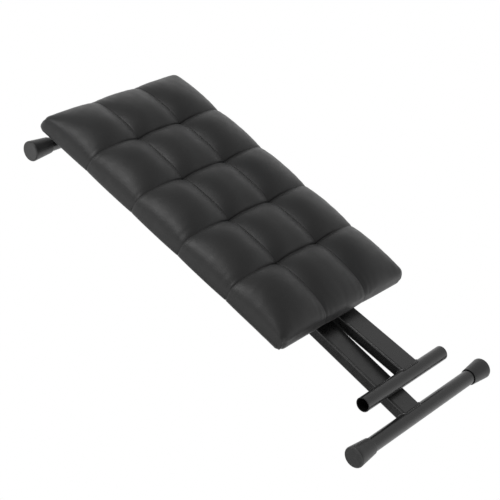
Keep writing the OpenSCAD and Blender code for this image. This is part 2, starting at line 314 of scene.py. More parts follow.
seat_low, seat_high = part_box("seat_cover")
SEAT_CENTRE = (seat_low + seat_high) / 2
SEAT_L = seat_high.x - seat_low.x
SEAT_W = seat_high.y - seat_low.y
SEAT_H = seat_high.z - seat_low.z
ROWS = 5
COLUMNS = 3
PITCH_X = 0.1925 * SEAT_L
PITCH_Y = 0.322 * SEAT_W
SEAMS_X = [(i - (ROWS - 2) / 2) * PITCH_X for i in range(ROWS - 1)]
SEAMS_Y = [(j - (COLUMNS - 2) / 2) * PITCH_Y for j in range(COLUMNS - 1)]

# The crowned top as it would be without tufts, and the grid laid over it.
WALL_H = 12 * MM
ROLL_X = 92 * MM
ROLL_Y = 68 * MM
ROLL_ARC = 1.22
CORNER_R = 10 * MM
CORNER_BLEND = 1.6
SWELL_X = 0.5 * MM
SWELL_Y = 3.2 * MM
END_X = SEAT_L / 2 - ROLL_X + ROLL_X * ROLL_ARC
END_Y = SEAT_W / 2 - ROLL_Y + ROLL_Y * ROLL_ARC
GRID_STEP = 3.8 * MM
GRID_EVEN = 0.22
TINY = 1e-6

# The dips between the pillows. Their widths are in half pillows.
TUFT_DEPTH = 19.9 * MM
TUFT_WIDTH = 0.66
SEAM_DEPTH = 14.5 * MM
SEAM_WIDTH = 0.95
DIP_POWER = 2.4
STEEP_SHARE = 0.16
STEEP_WIDTH = 0.2
LENGTHWISE_SHARE = 0.86
WALL_SEAM = 1.2 * MM
FADE_START = 0.15

# The sharp creases along the seams, deepest near the tufts, and the pits at the tufts.
CREASE_DEPTH = 1.2 * MM
CREASE_WIDTH = 0.8 * MM
CREASE_SHARE_Y = 0.2
CREASE_SHARE_EDGE = 0.65
CREASE_GAIN = 1.8
CREASE_REACH = 18 * MM
PIT_DEPTH = 1.4 * MM
PIT_WIDTH = 3 * MM
SLACK = 1.0 * MM

# Ripples of the pulled cloth: rate, strength, wander, bend and the bend's own rate.
STRAIN_DEPTH = 0.16 * MM
STRAIN_WANDER = 4 * MM
STRAIN_WAVES = ((620, 1.0, 1.0, 2.2, 73), (905, 0.8, 0.6, 1.7, 47))
STRAIN_TOP = 0.5
STRAIN_FOOT = 0.25

# How far inside the seat's side and how high above its underside each ring of the cover
# lies, in mm, from the side to the hem under the board; the pleated rings; the pleats.
COVER_RINGS = (
    (-1.0, 8.0), (-1.2, 4.0), (-0.6, 0.2), (1.6, -2.0), (5.0, -2.2), (11.0, 0.0), (24.0, 0.0),
)
PLEATED_RINGS = slice(3, 5)
PLEAT_DEPTH = 1.6 * MM
PLEAT_W = 7 * MM
PLEAT_REACH = 55 * MM
COVER_T = 1.0 * MM
CLOTH_FRAMES = 20
CLOTH_REACH = 8 * MM


def graded(marks, step):
    """Coordinates from the first mark to the last, closer together at each mark."""
    out = [marks[0]]
    for a, b in zip(marks, marks[1:]):
        count = max(4, round((b - a) / step))
        for i in range(1, count + 1):
            t = i / count
            eased = 0.5 - 0.5 * math.cos(math.pi * t)
            out.append(a + (b - a) * (GRID_EVEN * t + (1 - GRID_EVEN) * eased))
    return np.array(out)


def rolled(s, half, roll):
    """Where cloth coordinate s lies across the seat, and its share of the height."""
    flat = half - roll
    t = np.clip((np.abs(s) - flat) / (roll * ROLL_ARC), 0, 1) * math.pi / 2
    across = np.where(np.abs(s) <= flat, np.abs(s), flat + roll * np.sin(t))
    return np.sign(s) * across, np.clip(np.cos(t), TINY, 1)


def smooth_step(t):
    t = np.clip(t, 0, 1)
    return t * t * (3 - 2 * t)


def edge_fade(s, seam, pitch, end):
    """How deep a seam still is on its way from the last tuft to the seat's side."""
    start = seam + FADE_START * pitch
    return 1 - (1 - WALL_SEAM / SEAM_DEPTH) * smooth_step((np.abs(s) - start) / (end - start))


def round_corners(x, y):
    """Bends the square outline into one with round corners."""
    dx = np.clip((np.abs(x) - SEAT_L / 2 + CORNER_R) / CORNER_R, 0, 1)
    dy = np.clip((np.abs(y) - SEAT_W / 2 + CORNER_R) / CORNER_R, 0, 1)
    new_x = np.abs(x) - dx * CORNER_R * (1 - np.sqrt(1 - dy * dy / 2))
    new_y = np.abs(y) - dy * CORNER_R * (1 - np.sqrt(1 - dx * dx / 2))
    return np.sign(x) * new_x, np.sign(y) * new_y


def valley(t, width):
    """A pillow's dip at a seam: 1 on the seam, 0 from width (in half pillows) on."""
    return (1 - np.clip(t / width, 0, 1)) ** DIP_POWER


def steep_valley(t, steep):
    """A wide dip between two pillows, part of which is a short steep one at the seam."""
    return (1 - steep) * valley(t, SEAM_WIDTH) + steep * valley(t, STEEP_WIDTH)


def bell(distance, width):
    return np.exp(-((distance / width) ** 2))


def seam_share(s, seams, pitch):
    """Distance from the nearest seam, as a share of half a pillow."""
    nearest = np.min([np.abs(s - seam) for seam in seams], axis=0)
    return nearest / (pitch / 2)


def grid_faces(nx, ny):
    return [
        (i * ny + j, (i + 1) * ny + j, (i + 1) * ny + j + 1, i * ny + j + 1)
        for i in range(nx - 1)
        for j in range(ny - 1)
    ]


def ripples(s, t):
    """Waves along s that wander a little with t."""
    wander = STRAIN_WANDER * np.sin(t * 60 + 3 * np.sin(s * 31))
    return sum(
        strength * np.sin((s + share * wander) * rate + bend * np.sin(s * bend_rate))
        for rate, strength, share, bend, bend_rate in STRAIN_WAVES
    )


def strain_lines(x, y, rise_x, rise_y):
    """Faint ripples down the slopes, where the cloth is pulled over the edges."""
    down_y = smooth_step((1 - rise_y) / STRAIN_TOP) * smooth_step(rise_y / STRAIN_FOOT)
    down_x = smooth_step((1 - rise_x) / STRAIN_TOP) * smooth_step(rise_x / STRAIN_FOOT)
    return down_y * ripples(x, y) + down_x * ripples(y, x)


def crown(u, v):
    """The top without tufts: its points, its normals and how high it is along x and y."""
    x, rise_x = rolled(u, SEAT_L / 2 + SWELL_X, ROLL_X)
    y, rise_y = rolled(v, SEAT_W / 2 + SWELL_Y, ROLL_Y)
    x, y = round_corners(x, y)
    rise = (rise_x ** -CORNER_BLEND + rise_y ** -CORNER_BLEND - 1) ** (-1 / CORNER_BLEND)
    base = np.stack([x, y, WALL_H + (SEAT_H - WALL_H) * rise], -1)
    normal = np.cross(np.gradient(base, axis=0), np.gradient(base, axis=1))
    normal /= np.linalg.norm(normal, axis=-1, keepdims=True) + TINY ** 2
    return base, normal, rise_x, rise_y


def tufting(u, v):
    """How deep the seams and tufts pull the top in, and which points are sewn down."""
    tx = seam_share(u, SEAMS_X, PITCH_X)
    ty = seam_share(v, SEAMS_Y, PITCH_Y)
    to_tuft = np.hypot(tx * PITCH_X, ty * PITCH_Y) / 2
    fade_x = edge_fade(u, SEAMS_X[-1], PITCH_X, END_X)
    fade_y = edge_fade(v, SEAMS_Y[-1], PITCH_Y, END_Y)
    across = steep_valley(tx, STEEP_SHARE * fade_y) * fade_y
    along = LENGTHWISE_SHARE * valley(ty, SEAM_WIDTH) * fade_x
    depth = SEAM_DEPTH * (across + along - across * along)
    depth += (TUFT_DEPTH - SEAM_DEPTH) * valley(2 * to_tuft / PITCH_Y, TUFT_WIDTH)
    cut_x = bell(tx * PITCH_X / 2, CREASE_WIDTH)
    cut_x *= CREASE_SHARE_EDGE + (1 - CREASE_SHARE_EDGE) * fade_y
    cut_y = CREASE_SHARE_Y * bell(ty * PITCH_Y / 2, CREASE_WIDTH)
    crease = CREASE_DEPTH * (1 + CREASE_GAIN * bell(to_tuft, CREASE_REACH))
    depth += crease * np.maximum(cut_x, cut_y)
    depth += PIT_DEPTH * bell(to_tuft, PIT_WIDTH) + SLACK
    return depth, (tx < TINY) | (ty < TINY)


def cushion_surface():
    """The tufted top as a grid whose border is where the seat's upright side begins."""
    along = graded([-END_X, *SEAMS_X, END_X], GRID_STEP)
    across = graded([-END_Y, *SEAMS_Y, END_Y], GRID_STEP)
    u, v = np.meshgrid(along, across, indexing="ij")
    base, normal, rise_x, rise_y = crown(u, v)
    depth, sewn = tufting(u, v)
    depth += STRAIN_DEPTH * strain_lines(base[..., 0], base[..., 1], rise_x, rise_y)
    depth *= 1 - (1 - rise_x) * (1 - rise_y)
    points = base - normal * depth[..., None]
    points += np.array([SEAT_CENTRE.x, SEAT_CENTRE.y, seat_low.z])
    return points, sewn


def border(nx, ny):
    """Indices of the grid's outline, once round."""
    return (
        [i * ny for i in range(nx)]
        + [(nx - 1) * ny + j for j in range(1, ny)]
        + [i * ny + ny - 1 for i in range(nx - 2, -1, -1)]
        + [j for j in range(ny - 2, 0, -1)]
    )


def inset(points, distance, z):
    """The outline shrunk by distance on every side, at height z."""
    out = points.copy()
    for axis, half in ((0, SEAT_L / 2), (1, SEAT_W / 2)):
        middle = SEAT_CENTRE[axis]
        out[:, axis] = middle + (points[:, axis] - middle) * (1 - distance / half)
    out[:, 2] = z
    return out


def pleats(points):
    """Folds where the cover is gathered round the corners of the board, 0 to 1."""
    middle = np.array([SEAT_CENTRE.x, SEAT_CENTRE.y])
    to_corner = np.abs(points[:, :2] - middle) - np.array([SEAT_L / 2, SEAT_W / 2])
    away = np.linalg.norm(to_corner, axis=1)
    folds = np.abs(np.sin(away * math.pi / PLEAT_W + 0.4))
    return folds * smooth_step(1 - away / PLEAT_REACH) ** 0.5


def cover_mesh():
    """The cover's points and faces, its number of points on top, and the sewn ones."""
    points, sewn = cushion_surface()
    nx, ny = points.shape[:2]
    top = points.reshape(-1, 3)
    loop = border(nx, ny)
    rings = [
        inset(top[loop], inward * MM, seat_low.z + height * MM)
        for inward, height in COVER_RINGS
    ]
    for ring in rings[PLEATED_RINGS]:
        ring[:, 2] -= PLEAT_DEPTH * pleats(ring)
    faces = grid_faces(nx, ny)
    previous = loop
    for number in range(len(rings)):
        start = len(top) + number * len(loop)
        current = list(range(start, start + len(loop)))
        for k in range(len(loop)):
            m = (k + 1) % len(loop)
            faces.append((previous[m], previous[k], current[k], current[m]))
        previous = current
    return np.concatenate([top, *rings]), faces, len(top), np.flatnonzero(sewn.ravel())


def make_cover():
    points, faces, top_count, sewn = cover_mesh()
    cover = add_mesh("tufted_cover", points, faces, LEATHERETTE)
    inflate(cover, sewn, top_count)
    subdivide = cover.modifiers.new("smooth", "SUBSURF")
    subdivide.levels = subdivide.render_levels = 1
    thick = cover.modifiers.new("thickness", "SOLIDIFY")
    thick.thickness = COVER_T
    thick.offset = -1
    apply_modifiers(cover)
    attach(cover, "seat")
    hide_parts("seat_cover")


def inflate(cover, sewn, top_count):
    """Lets the cloth between the seams swell and pucker, then keeps that shape."""
    scene = bpy.context.scene
    start = np.empty(len(cover.data.vertices) * 3)
    cover.data.vertices.foreach_get("co", start)
    start = start.reshape(-1, 3)
    group = cover.vertex_groups.new(name="sewn")
    group.add([int(i) for i in sewn], 1.0, "REPLACE")
    group.add(list(range(top_count, len(start))), 1.0, "REPLACE")
    cloth = cover.modifiers.new("cloth", "CLOTH")
    settings = cloth.settings
    settings.quality = 8
    settings.mass = 0.25
    settings.tension_stiffness = settings.compression_stiffness = 12
    settings.shear_stiffness = 4
    settings.bending_stiffness = 4
    settings.vertex_group_mass = "sewn"
    settings.pin_stiffness = 1
    settings.shrink_min = -0.001
    settings.use_pressure = True
    settings.uniform_pressure_force = 3.0
    settings.effector_weights.gravity = 0
    cloth.collision_settings.use_collision = False
    cloth.point_cache.frame_start = 1
    cloth.point_cache.frame_end = CLOTH_FRAMES
    for number in range(1, CLOTH_FRAMES + 1):
        scene.frame_set(number)
    graph = bpy.context.evaluated_depsgraph_get()
    swollen = cover.evaluated_get(graph).to_mesh()
    moved = np.empty(len(start) * 3)
    swollen.vertices.foreach_get("co", moved)
    cover.evaluated_get(graph).to_mesh_clear()
    move = moved.reshape(-1, 3) - start
    distance = np.maximum(np.linalg.norm(move, axis=1, keepdims=True), TINY)
    move *= np.minimum(1, CLOTH_REACH / distance)
    cover.modifiers.clear()
    cover.vertex_groups.clear()
    scene.frame_set(1)
    cover.data.vertices.foreach_set("co", (start + move).ravel())
    cover.data.update()


FOAM_SKIP = 2
FOAM_INSET = 5 * MM
FOAM_MARGIN = 30 * MM
FOAM_EDGE_H = 1.5 * MM


def make_foam():
    """The foam block under the cover, with its own dents where the tufts pull."""
    points, _ = cushion_surface()
    points = points[::FOAM_SKIP, ::FOAM_SKIP]
    nx, ny = points.shape[:2]
    floor_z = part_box("seat_foam")[0].z
    middle = np.array([SEAT_CENTRE.x, SEAT_CENTRE.y, 0])
    top = points - middle
    for axis, half in ((0, SEAT_L / 2), (1, SEAT_W / 2)):
        outer = np.maximum(np.abs(top[..., axis]) - half + FOAM_MARGIN, 0)
        top[..., axis] -= np.sign(top[..., axis]) * outer * FOAM_INSET / FOAM_MARGIN
    top += middle
    top[..., 2] = np.maximum(top[..., 2] - FOAM_INSET, floor_z + FOAM_EDGE_H)
    bottom = top.copy()
    bottom[..., 2] = floor_z
    count = nx * ny
    faces = grid_faces(nx, ny)
    faces += [tuple(count + i for i in reversed(face)) for face in grid_faces(nx, ny)]
    loop = border(nx, ny)
    for k, a in enumerate(loop):
        b = loop[(k + 1) % len(loop)]
        faces.append((b, a, count + a, count + b))
    both = np.concatenate([top.reshape(-1, 3), bottom.reshape(-1, 3)])
    foam = add_mesh("foam_block", both, faces, FOAM)
    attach(foam, "seat")
    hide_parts("seat_foam")


make_cover()
make_foam()


# ----------------------------------------------------------------- lining

LINING_T = 0.3 * MM
LINING_STEP = 6 * MM
LINING_SAG = 0.7 * MM
LINING_FOLD_W = 9 * MM
LINING_FOLD_T = 0.25 * MM
LINING_PUCKER = 0.12 * MM
SAG_MEAN = 0.6
SAG_WAVE = 0.25
STAPLE_L = 10 * MM
STAPLE_W = 1.1 * MM
STAPLE_T = 0.5 * MM
STAPLE_LEG = 1.2 * MM
STAPLE_PROUD = 0.45 * MM
STAPLE_INSET = 4.5 * MM
STAPLE_GAP = 38 * MM
# A staple from end to end, in staple lengths, and how far in each point is, in staple legs.
STAPLE_PROFILE = (
    (-0.5, 1.0), (-0.5, 0.25), (-0.44, 0.0), (0.44, 0.0), (0.5, 0.25), (0.5, 1.0),
)


def slack_waves(x, y):
    """Long soft waves in the slack cloth, each bent a little by the other direction."""
    return np.sin(x * 61 + 1.3 * np.sin(y * 23)) + 0.7 * np.sin(y * 87 + 2.1 * np.sin(x * 17))


def make_lining():
    """The thin cloth stretched under the seat, slack between its stapled edges."""
    low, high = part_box("bottom_lining")
    size = high - low
    nx = round(size.x / LINING_STEP)
    ny = round(size.y / LINING_STEP)
    x, y = np.meshgrid(
        np.linspace(low.x, high.x, nx), np.linspace(low.y, high.y, ny), indexing="ij"
    )
    edge = np.minimum(
        np.minimum(x - low.x, high.x - x), np.minimum(y - low.y, high.y - y)
    )
    slack = smooth_step((edge - LINING_FOLD_W) / (4 * LINING_FOLD_W))
    sag = LINING_SAG * slack * (SAG_MEAN + SAG_WAVE * slack_waves(x, y))
    near_edge = 1 - smooth_step(edge / (3 * LINING_FOLD_W))
    pucker = np.sin((x + y) * 2 * math.pi / STAPLE_GAP) * near_edge
    z = low.z + LINING_T - sag - LINING_PUCKER * pucker
    fold = smooth_step((edge - LINING_FOLD_W) / (0.2 * LINING_FOLD_W))
    z -= LINING_FOLD_T * (1 - fold)
    points = np.stack([x, y, z], -1).reshape(-1, 3)
    lining = add_mesh("stretched_lining", points, grid_faces(nx, ny), LINING)
    thick = lining.modifiers.new("thickness", "SOLIDIFY")
    thick.thickness = LINING_T
    thick.offset = 1
    apply_modifiers(lining)
    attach(lining, "seat")
    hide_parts("bottom_lining")
    return low, high


def staple(x, y, z, along_x):
    """A staple's crown: a flat wire, bent up into the board at both ends."""
    points = []
    for side in (-0.5, 0.5):
        for share, depth in STAPLE_PROFILE:
            along = share * STAPLE_L
            across = side * STAPLE_W
            shift = (along, across) if along_x else (across, along)
            points.append((x + shift[0], y + shift[1], z + depth * STAPLE_LEG))
    n = len(STAPLE_PROFILE)
    faces = [(i, i + 1, n + i + 1, n + i) for i in range(n - 1)]
    return points, faces


def make_staples(low, high):
    shapes = []
    for along_x, start, stop, sides in (
        (True, low.x, high.x, (low.y + STAPLE_INSET, high.y - STAPLE_INSET)),
        (False, low.y, high.y, (low.x + STAPLE_INSET, high.x - STAPLE_INSET)),
    ):
        count = round((stop - start) / STAPLE_GAP)
        for i in range(count):
            middle = start + (i + 0.5) * (stop - start) / count
            for side in sides:
                x, y = (middle, side) if along_x else (side, middle)
                shapes.append(staple(x, y, low.z - STAPLE_PROUD, along_x))
    staples = add_mesh("lining_staples", *gather(shapes), ZINC, smooth=False)
    thick = staples.modifiers.new("thickness", "SOLIDIFY")
    thick.thickness = STAPLE_T
    thick.offset = 0
    apply_modifiers(staples)
    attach(staples, "seat")


make_staples(*make_lining())


# ------------------------------------------------------------------ welds

WELD_R = 1.7 * MM
WELD_LIFT = 0.3 * MM
WELD_PITCH = 3.2 * MM
WELD_RIPPLE = 0.16
WELD_DRIFT = 0.06
WELD_SIDES = 10
LEG_H = 19 * MM
LEG_CORNER_R = 3 * MM
CORNER_STEPS = 4


def rounded_section(w, h, r, step):
    """Points once round a rounded rectangle, and their outward directions."""
    points, outward = [], []
    for k, (sx, sy) in enumerate(((1, 1), (-1, 1), (-1, -1), (1, -1))):
        centre = np.array([sx * (w / 2 - r), sy * (h / 2 - r)])
        for i in range(CORNER_STEPS + 1):
            angle = math.pi / 2 * (k + i / CORNER_STEPS)
            direction = np.array([math.cos(angle), math.sin(angle)])
            points.append(centre + r * direction)
            outward.append(direction)
    dense, normals = [], []
    for a, b, na, nb in zip(points, points[1:] + points[:1], outward, outward[1:] + outward[:1]):
        count = max(1, round(np.linalg.norm(b - a) / step))
        for i in range(count):
            t = i / count
            dense.append(a + (b - a) * t)
            mixed = na + (nb - na) * t
            normals.append(mixed / np.linalg.norm(mixed))
    return np.array(dense), np.array(normals)


def tube_round(path, radii, sides):
    """A closed tube round a closed path."""
    count = len(path)
    ahead = np.roll(path, -1, axis=0) - np.roll(path, 1, axis=0)
    ahead /= np.linalg.norm(ahead, axis=1, keepdims=True)
    middle = path.mean(axis=0)
    outward = path - middle
    outward -= ahead * np.sum(outward * ahead, axis=1, keepdims=True)
    outward /= np.linalg.norm(outward, axis=1, keepdims=True)
    third = np.cross(ahead, outward)
    angles = np.linspace(0, 2 * math.pi, sides, endpoint=False)
    rings = (
        path[:, None]
        + radii[:, None, None]
        * (outward[:, None] * np.cos(angles)[:, None] + third[:, None] * np.sin(angles)[:, None])
    )
    faces = [
        (i * sides + j, i * sides + (j + 1) % sides,
         (i + 1) % count * sides + (j + 1) % sides, (i + 1) % count * sides + j)
        for i in range(count)
        for j in range(sides)
    ]
    return rings.reshape(-1, 3), faces


def make_weld(name, tube, bar, far_bar, body):
    """A rippled bead where the end of a leg tube is welded to a round bar."""
    centre = centre_of(bar)
    far = centre_of(far_bar)
    low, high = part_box(bar)
    bar_r = min(high.x - low.x, high.z - low.z) / 2
    tube_low, tube_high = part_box(tube)
    leg_y = (tube_low.y + tube_high.y) / 2
    along = Vector((far.x - centre.x, 0, far.z - centre.z)).normalized()
    up = Vector((-along.z, 0, along.x))
    if up.z < 0:
        up = -up
    section, outward = rounded_section(
        tube_high.y - tube_low.y, LEG_H, LEG_CORNER_R, WELD_PITCH / 5
    )
    rise = section[:, 1] + outward[:, 1] * WELD_LIFT
    away = np.sqrt(np.maximum(bar_r ** 2 - np.minimum(np.abs(rise), bar_r) ** 2, 0)) + WELD_LIFT
    path = (
        np.array([centre.x, leg_y, centre.z])
        + away[:, None] * np.array(along)
        + rise[:, None] * np.array(up)
    )
    path[:, 1] += section[:, 0] + outward[:, 0] * WELD_LIFT
    travel = np.concatenate([[0], np.cumsum(np.linalg.norm(np.diff(path, axis=0), axis=1))])
    # One ripple each WELD_PITCH, a little uneven, on a bead that slowly swells and thins.
    ripple = np.abs(np.sin(travel / WELD_PITCH * math.pi + 0.6 * np.sin(travel * 400)))
    drift = np.sin(travel * 210 + centre.x * 40) + 0.6 * np.sin(travel * 90 + leg_y * 300)
    radii = WELD_R * (1 - WELD_RIPPLE + 2 * WELD_RIPPLE * ripple + WELD_DRIFT * drift)
    points, faces = tube_round(path, radii, WELD_SIDES)
    bead = add_mesh(name, points, faces, POWDER_COAT)
    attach(bead, body)


make_weld("weld_foot_a", "leg_a_tube", "foot_bar_a", "hinge_tube", "leg_a")
make_weld("weld_hinge_tube", "leg_a_tube", "hinge_tube", "foot_bar_a", "leg_a")
make_weld("weld_foot_b", "leg_b_tube", "foot_bar_b", "crossbar", "leg_b")
make_weld("weld_crossbar", "leg_b_tube", "crossbar", "foot_bar_b", "leg_b")


# -------------------------------------------------------------- fasteners

TURN_SIDES = 48
CHAMFER_SLOPE = math.tan(math.radians(30))
# Rings of heads and nuts, as shares of the width across the flats.
CHAMFER_START = 0.94
FACE_SHARE = 0.93
COLLAR_SHARE = 0.87
RIM_SHARE = 0.84
DISH_SHARE = 0.80
# What a thread takes off the diameter, in pitches.
THREAD_CUT = 1.1
DOME_STEPS = 7
ANGLES = np.linspace(0, 2 * math.pi, TURN_SIDES, endpoint=False)


def hexagon(across):
    """Distance from a hexagon's centre to its edge, at every angle."""
    return across / 2 / np.cos(ANGLES % (math.pi / 3) - math.pi / 6)


def circle(diameter):
    return np.full(TURN_SIDES, diameter / 2)


def chamfered(across, at, slope):
    """A hexagon's edge where a cone cuts it: its radii and where each lies along the axis."""
    radii = hexagon(across)
    return radii, at + slope * CHAMFER_SLOPE * (radii - CHAMFER_START * across / 2)


def turned(rings, place, axis, closed=False):
    """A solid through rings of (radii, distance along the axis), capped or joined up."""
    axis = Vector(axis)
    side = Vector((0, 0, 1)) if abs(axis.z) < 0.5 else Vector((1, 0, 0))
    third = axis.cross(side)
    points = []
    for radii, along in rings:
        along = np.broadcast_to(along, TURN_SIDES)
        for radius, angle, reach in zip(radii, ANGLES, along):
            out = side * math.cos(angle) * radius + third * math.sin(angle) * radius
            points.append(Vector(place) + out + axis * float(reach))
    n = TURN_SIDES
    count = len(rings)
    faces = [
        (i * n + j, i * n + (j + 1) % n,
         (i + 1) % count * n + (j + 1) % n, (i + 1) % count * n + j)
        for i in range(count if closed else count - 1)
        for j in range(n)
    ]
    if not closed:
        for ring, step in ((0, -1), (count - 1, 1)):
            middle = len(points)
            points.append(sum((points[ring * n + j] for j in range(n)), Vector()) / n)
            for j in range(n):
                a, b = ring * n + j, ring * n + (j + 1) % n
                faces.append((a, b, middle) if step > 0 else (b, a, middle))
    return points, faces


def add_turned(name, shapes, material, node, body, crisp=35):
    """A piece made of turned shapes, standing for a CAD node."""
    points, faces = gather(shapes)
    piece = add_mesh(name, points, faces, material)
    bm = bmesh.new()
    bm.from_mesh(piece.data)
    bmesh.ops.recalc_face_normals(bm, faces=bm.faces)
    for edge in bm.edges:
        if len(edge.link_faces) == 2:
            edge.smooth = edge.calc_face_angle(0) < math.radians(crisp)
    bm.to_mesh(piece.data)
    bm.free()
    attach(piece, body)
    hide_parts(node)
    return piece


def threads(diameter, start, stop, pitch):
    """Rings of a screw thread's crests and roots, with a chamfered tip."""
    rings = []
    count = round((stop - start) / pitch)
    for i in range(count):
        at = start + i * pitch
        rings.append((circle(diameter - THREAD_CUT * pitch), at + 0.1 * pitch))
        rings.append((circle(diameter), at + 0.5 * pitch))
        rings.append((circle(diameter), at + 0.6 * pitch))
    rings.append((circle(diameter - THREAD_CUT * pitch), stop - 0.2 * pitch))
    rings.append((circle(diameter - 2 * THREAD_CUT * pitch), stop))
    return rings


def bolt_rings(across, head_t, diameter, length, thread_l, pitch):
    """A hex bolt from the face of its head to its tip."""
    return [
        (circle(DISH_SHARE * across), 0.22 * MM),
        (circle(RIM_SHARE * across), 0.0),
        (circle(FACE_SHARE * across), 0.0),
        chamfered(across, 0.0, 1),
        (hexagon(across), head_t - 0.5 * MM),
        (circle(FACE_SHARE * across), head_t - 0.3 * MM),
        (circle(FACE_SHARE * across), head_t),
        (circle(diameter + 0.6 * MM), head_t),
        (circle(diameter), head_t + 0.4 * MM),
        (circle(diameter), length - thread_l),
        *threads(diameter, length - thread_l, length, pitch),
    ]


def nut_rings(across, height, diameter):
    """A nut with a round collar for its nylon ring, from the collar to the washer."""
    bore = diameter + 0.1 * MM
    return [
        (circle(bore), 0.6 * MM),
        (circle(0.74 * across), 0.3 * MM),
        (circle(0.78 * across), 0.0),
        (circle(RIM_SHARE * across), 0.15 * MM),
        (circle(COLLAR_SHARE * across), 0.6 * MM),
        (circle(COLLAR_SHARE * across), 0.26 * height),
        (circle(FACE_SHARE * across), 0.30 * height),
        chamfered(across, 0.30 * height, 1),
        chamfered(across, height, -1),
        (circle(FACE_SHARE * across), height),
        (circle(bore + 0.8 * MM), height),
        (circle(bore), height - 0.4 * MM),
    ]


def button_rings(head_d, head_t, across, diameter, length, pitch):
    """A button-head screw with a hexagon socket, from its face to its tip."""
    dome = []
    for i in range(1, DOME_STEPS + 1):
        angle = math.pi / 2 * i / DOME_STEPS
        radius = across + (head_d - 2 * across) * math.sin(angle) / 2
        dome.append((circle(2 * radius), (head_t - 0.5 * MM) * (1 - math.cos(angle))))
    return [
        (hexagon(across), 0.62 * head_t),
        (hexagon(across), 0.06 * MM),
        (hexagon(1.08 * across), 0.0),
        (circle(1.36 * across), 0.0),
        *[ring for ring in dome if ring[0][0] > 0.70 * across],
        (circle(head_d), head_t - 0.15 * MM),
        (circle(head_d - 0.3 * MM), head_t),
        (circle(diameter + 0.4 * MM), head_t),
        (circle(diameter), head_t + 0.3 * MM),
        *threads(diameter, head_t + 2 * MM, length, pitch),
    ]


HINGE_HEX = 13 * MM
HINGE_HEAD_T = 5.5 * MM
HINGE_D = 8 * MM
HINGE_PITCH = 1.25 * MM
PIVOT_HEX = 16 * MM
PIVOT_HEAD_T = 6.4 * MM
PIVOT_D = 10 * MM
PIVOT_PITCH = 1.5 * MM
THREAD_L = 20 * MM
SCREW_HEAD_D = 10 * MM
SCREW_HEAD_T = 3 * MM
SCREW_SOCKET = 4 * MM
SCREW_D = 5.6 * MM
SCREW_PITCH = 1.0 * MM
# Where the CAD has the bracket screws; each row has a twin on the other side.
HINGE_SCREWS_X = (-0.317, -0.295, -0.273)
HINGE_SCREWS_Y = 0.1143
RACK_SCREWS_X = (0.0785, 0.11625, 0.154)
RACK_SCREWS_Y = 0.104
BUMPER_HEAD_D = 8 * MM
BUMPER_HEAD_T = 2.6 * MM
BUMPER_SOCKET = 2.5 * MM
BUMPER_SCREW_D = 3.6 * MM
BUMPER_PITCH = 0.7 * MM


def make_bolt(node, nut_node, body, across, head_t, diameter, pitch):
    """A hex bolt and its lock nut, where the CAD has them."""
    low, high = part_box(node)
    x, z = (low.x + high.x) / 2, (low.z + high.z) / 2
    rings = bolt_rings(across, head_t, diameter, high.y - low.y, THREAD_L, pitch)
    add_turned(
        node + "_turned", [turned(rings, (x, low.y, z), (0, 1, 0))], ZINC, node, body
    )
    nut_low, nut_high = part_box(nut_node)
    rings = nut_rings(across, nut_high.y - nut_low.y, diameter)
    nut = turned(rings, (x, nut_high.y, z), (0, -1, 0), closed=True)
    add_turned(nut_node + "_turned", [nut], ZINC, nut_node, body)


def make_screws():
    low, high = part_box("bracket_screws")
    rings = button_rings(
        SCREW_HEAD_D, SCREW_HEAD_T, SCREW_SOCKET, SCREW_D, high.z - low.z, SCREW_PITCH
    )
    shapes = [
        turned(rings, (x, side * y, low.z), (0, 0, 1))
        for row, y in ((HINGE_SCREWS_X, HINGE_SCREWS_Y), (RACK_SCREWS_X, RACK_SCREWS_Y))
        for x in row
        for side in (-1, 1)
    ]
    add_turned("button_screws", shapes, ZINC, "bracket_screws", "seat")

    low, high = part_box("bumper_screws")
    rings = button_rings(
        BUMPER_HEAD_D, BUMPER_HEAD_T, BUMPER_SOCKET, BUMPER_SCREW_D, high.z - low.z, BUMPER_PITCH
    )
    y = (high.y - low.y - BUMPER_HEAD_D) / 2
    shapes = [turned(rings, (0, side * y, low.z), (0, 0, 1)) for side in (-1, 1)]
    add_turned("bumper_button_screws", shapes, ZINC, "bumper_screws", "seat")


make_bolt("hinge_bolt", "hinge_nut", "seat", HINGE_HEX, HINGE_HEAD_T, HINGE_D, HINGE_PITCH)
make_bolt("pivot_bolt", "pivot_nut", "leg_a", PIVOT_HEX, PIVOT_HEAD_T, PIVOT_D, PIVOT_PITCH)
make_screws()


# -------------------------------------------------------------- foot caps

CAP_TIP_D = 32 * MM
CAP_MOUTH_D = 25.6 * MM
CAP_RIM_R = 2.2 * MM
CAP_BORE_D = 22.4 * MM
CAP_WALL = 6 * MM
CAP_LIP_R = 0.9 * MM
CAP_LIP_DEPTH = 0.81 * MM
RIM_STEPS = 8
LIP_STEPS = 6


